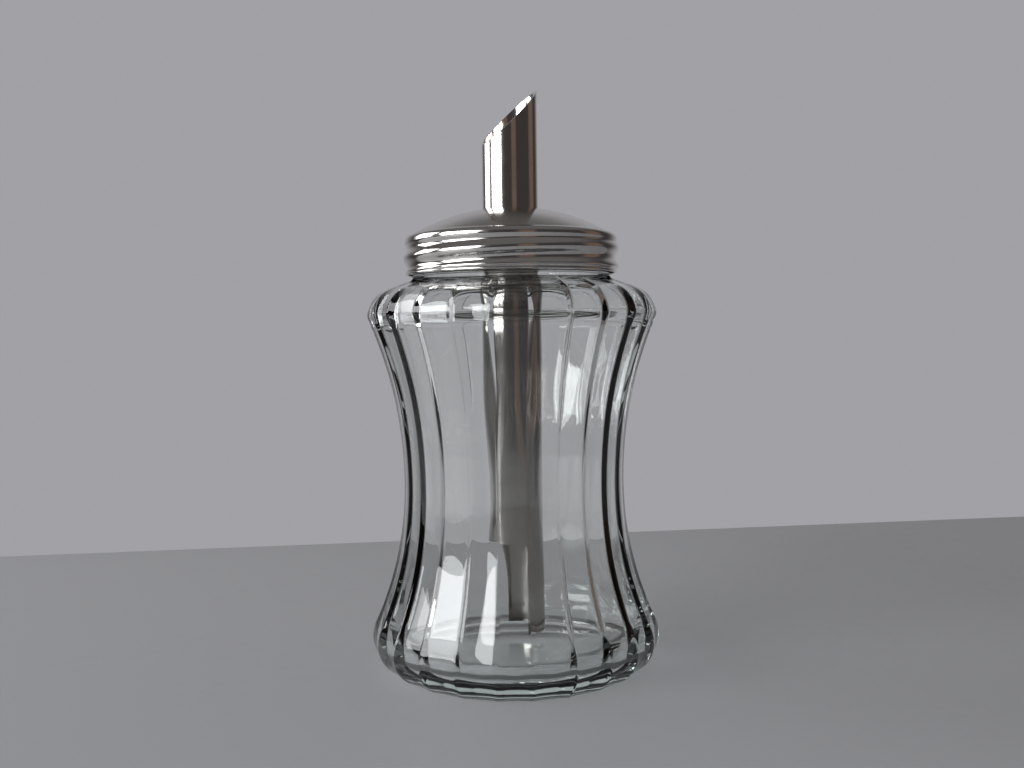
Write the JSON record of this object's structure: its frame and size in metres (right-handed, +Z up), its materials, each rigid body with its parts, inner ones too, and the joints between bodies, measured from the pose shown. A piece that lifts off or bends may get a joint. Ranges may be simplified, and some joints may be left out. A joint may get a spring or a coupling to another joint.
{
  "type": "sugar dispenser",
  "caption": "Fluted, waisted glass jar with a threaded metal screw cap and a straight dosing tube through the dome, its mouth cut on a slant.",
  "frame": {"origin": "centre of the ring that the jar stands on, at table height", "axes": "+Z up along the jar's axis; +X towards the tip of the tube's slanted mouth, which is also the side that its cut-away lower end keeps"},
  "size_m": [0.0778, 0.0778, 0.155],
  "materials": {
    "clear_glass": "clear pressed glass with a faint green cast where it is thick",
    "seal_rubber": "white food-safe rubber, matt",
    "cap_metal": "bright plated sheet, with soft scratches",
    "tube_metal": "polished steel tube",
    "collar_metal": "bright turned metal"
  },
  "bodies": {
    "jar": {"glass_jar": "clear_glass", "glass_base": "clear_glass"},
    "seal": {"rim_seal": "seal_rubber"},
    "collar": {"tube_collar": "collar_metal"},
    "lid": {"screw_cap": "cap_metal", "dosing_tube": "tube_metal"}
  },
  "joints": [
    {"name": "lid_lift_off", "type": "slide", "parent": "jar", "child": "seal", "axis": [0, 0, 1], "range_m": [0, 0.118]},
    {"name": "lid_rise", "type": "slide", "parent": "seal", "child": "collar", "axis": [0, 0, 1], "range_m": [0, 0.0076]},
    {"name": "lid_turn", "type": "hinge", "parent": "collar", "child": "lid", "pos_m": [0, 0, 0.115], "axis": [0, 0, 1], "range_deg": [0, 540]}
  ],
  "couplings": [
    {"joint": "lid_rise", "follows": "lid_turn", "m_per_rad": 0.00079577}
  ]
}
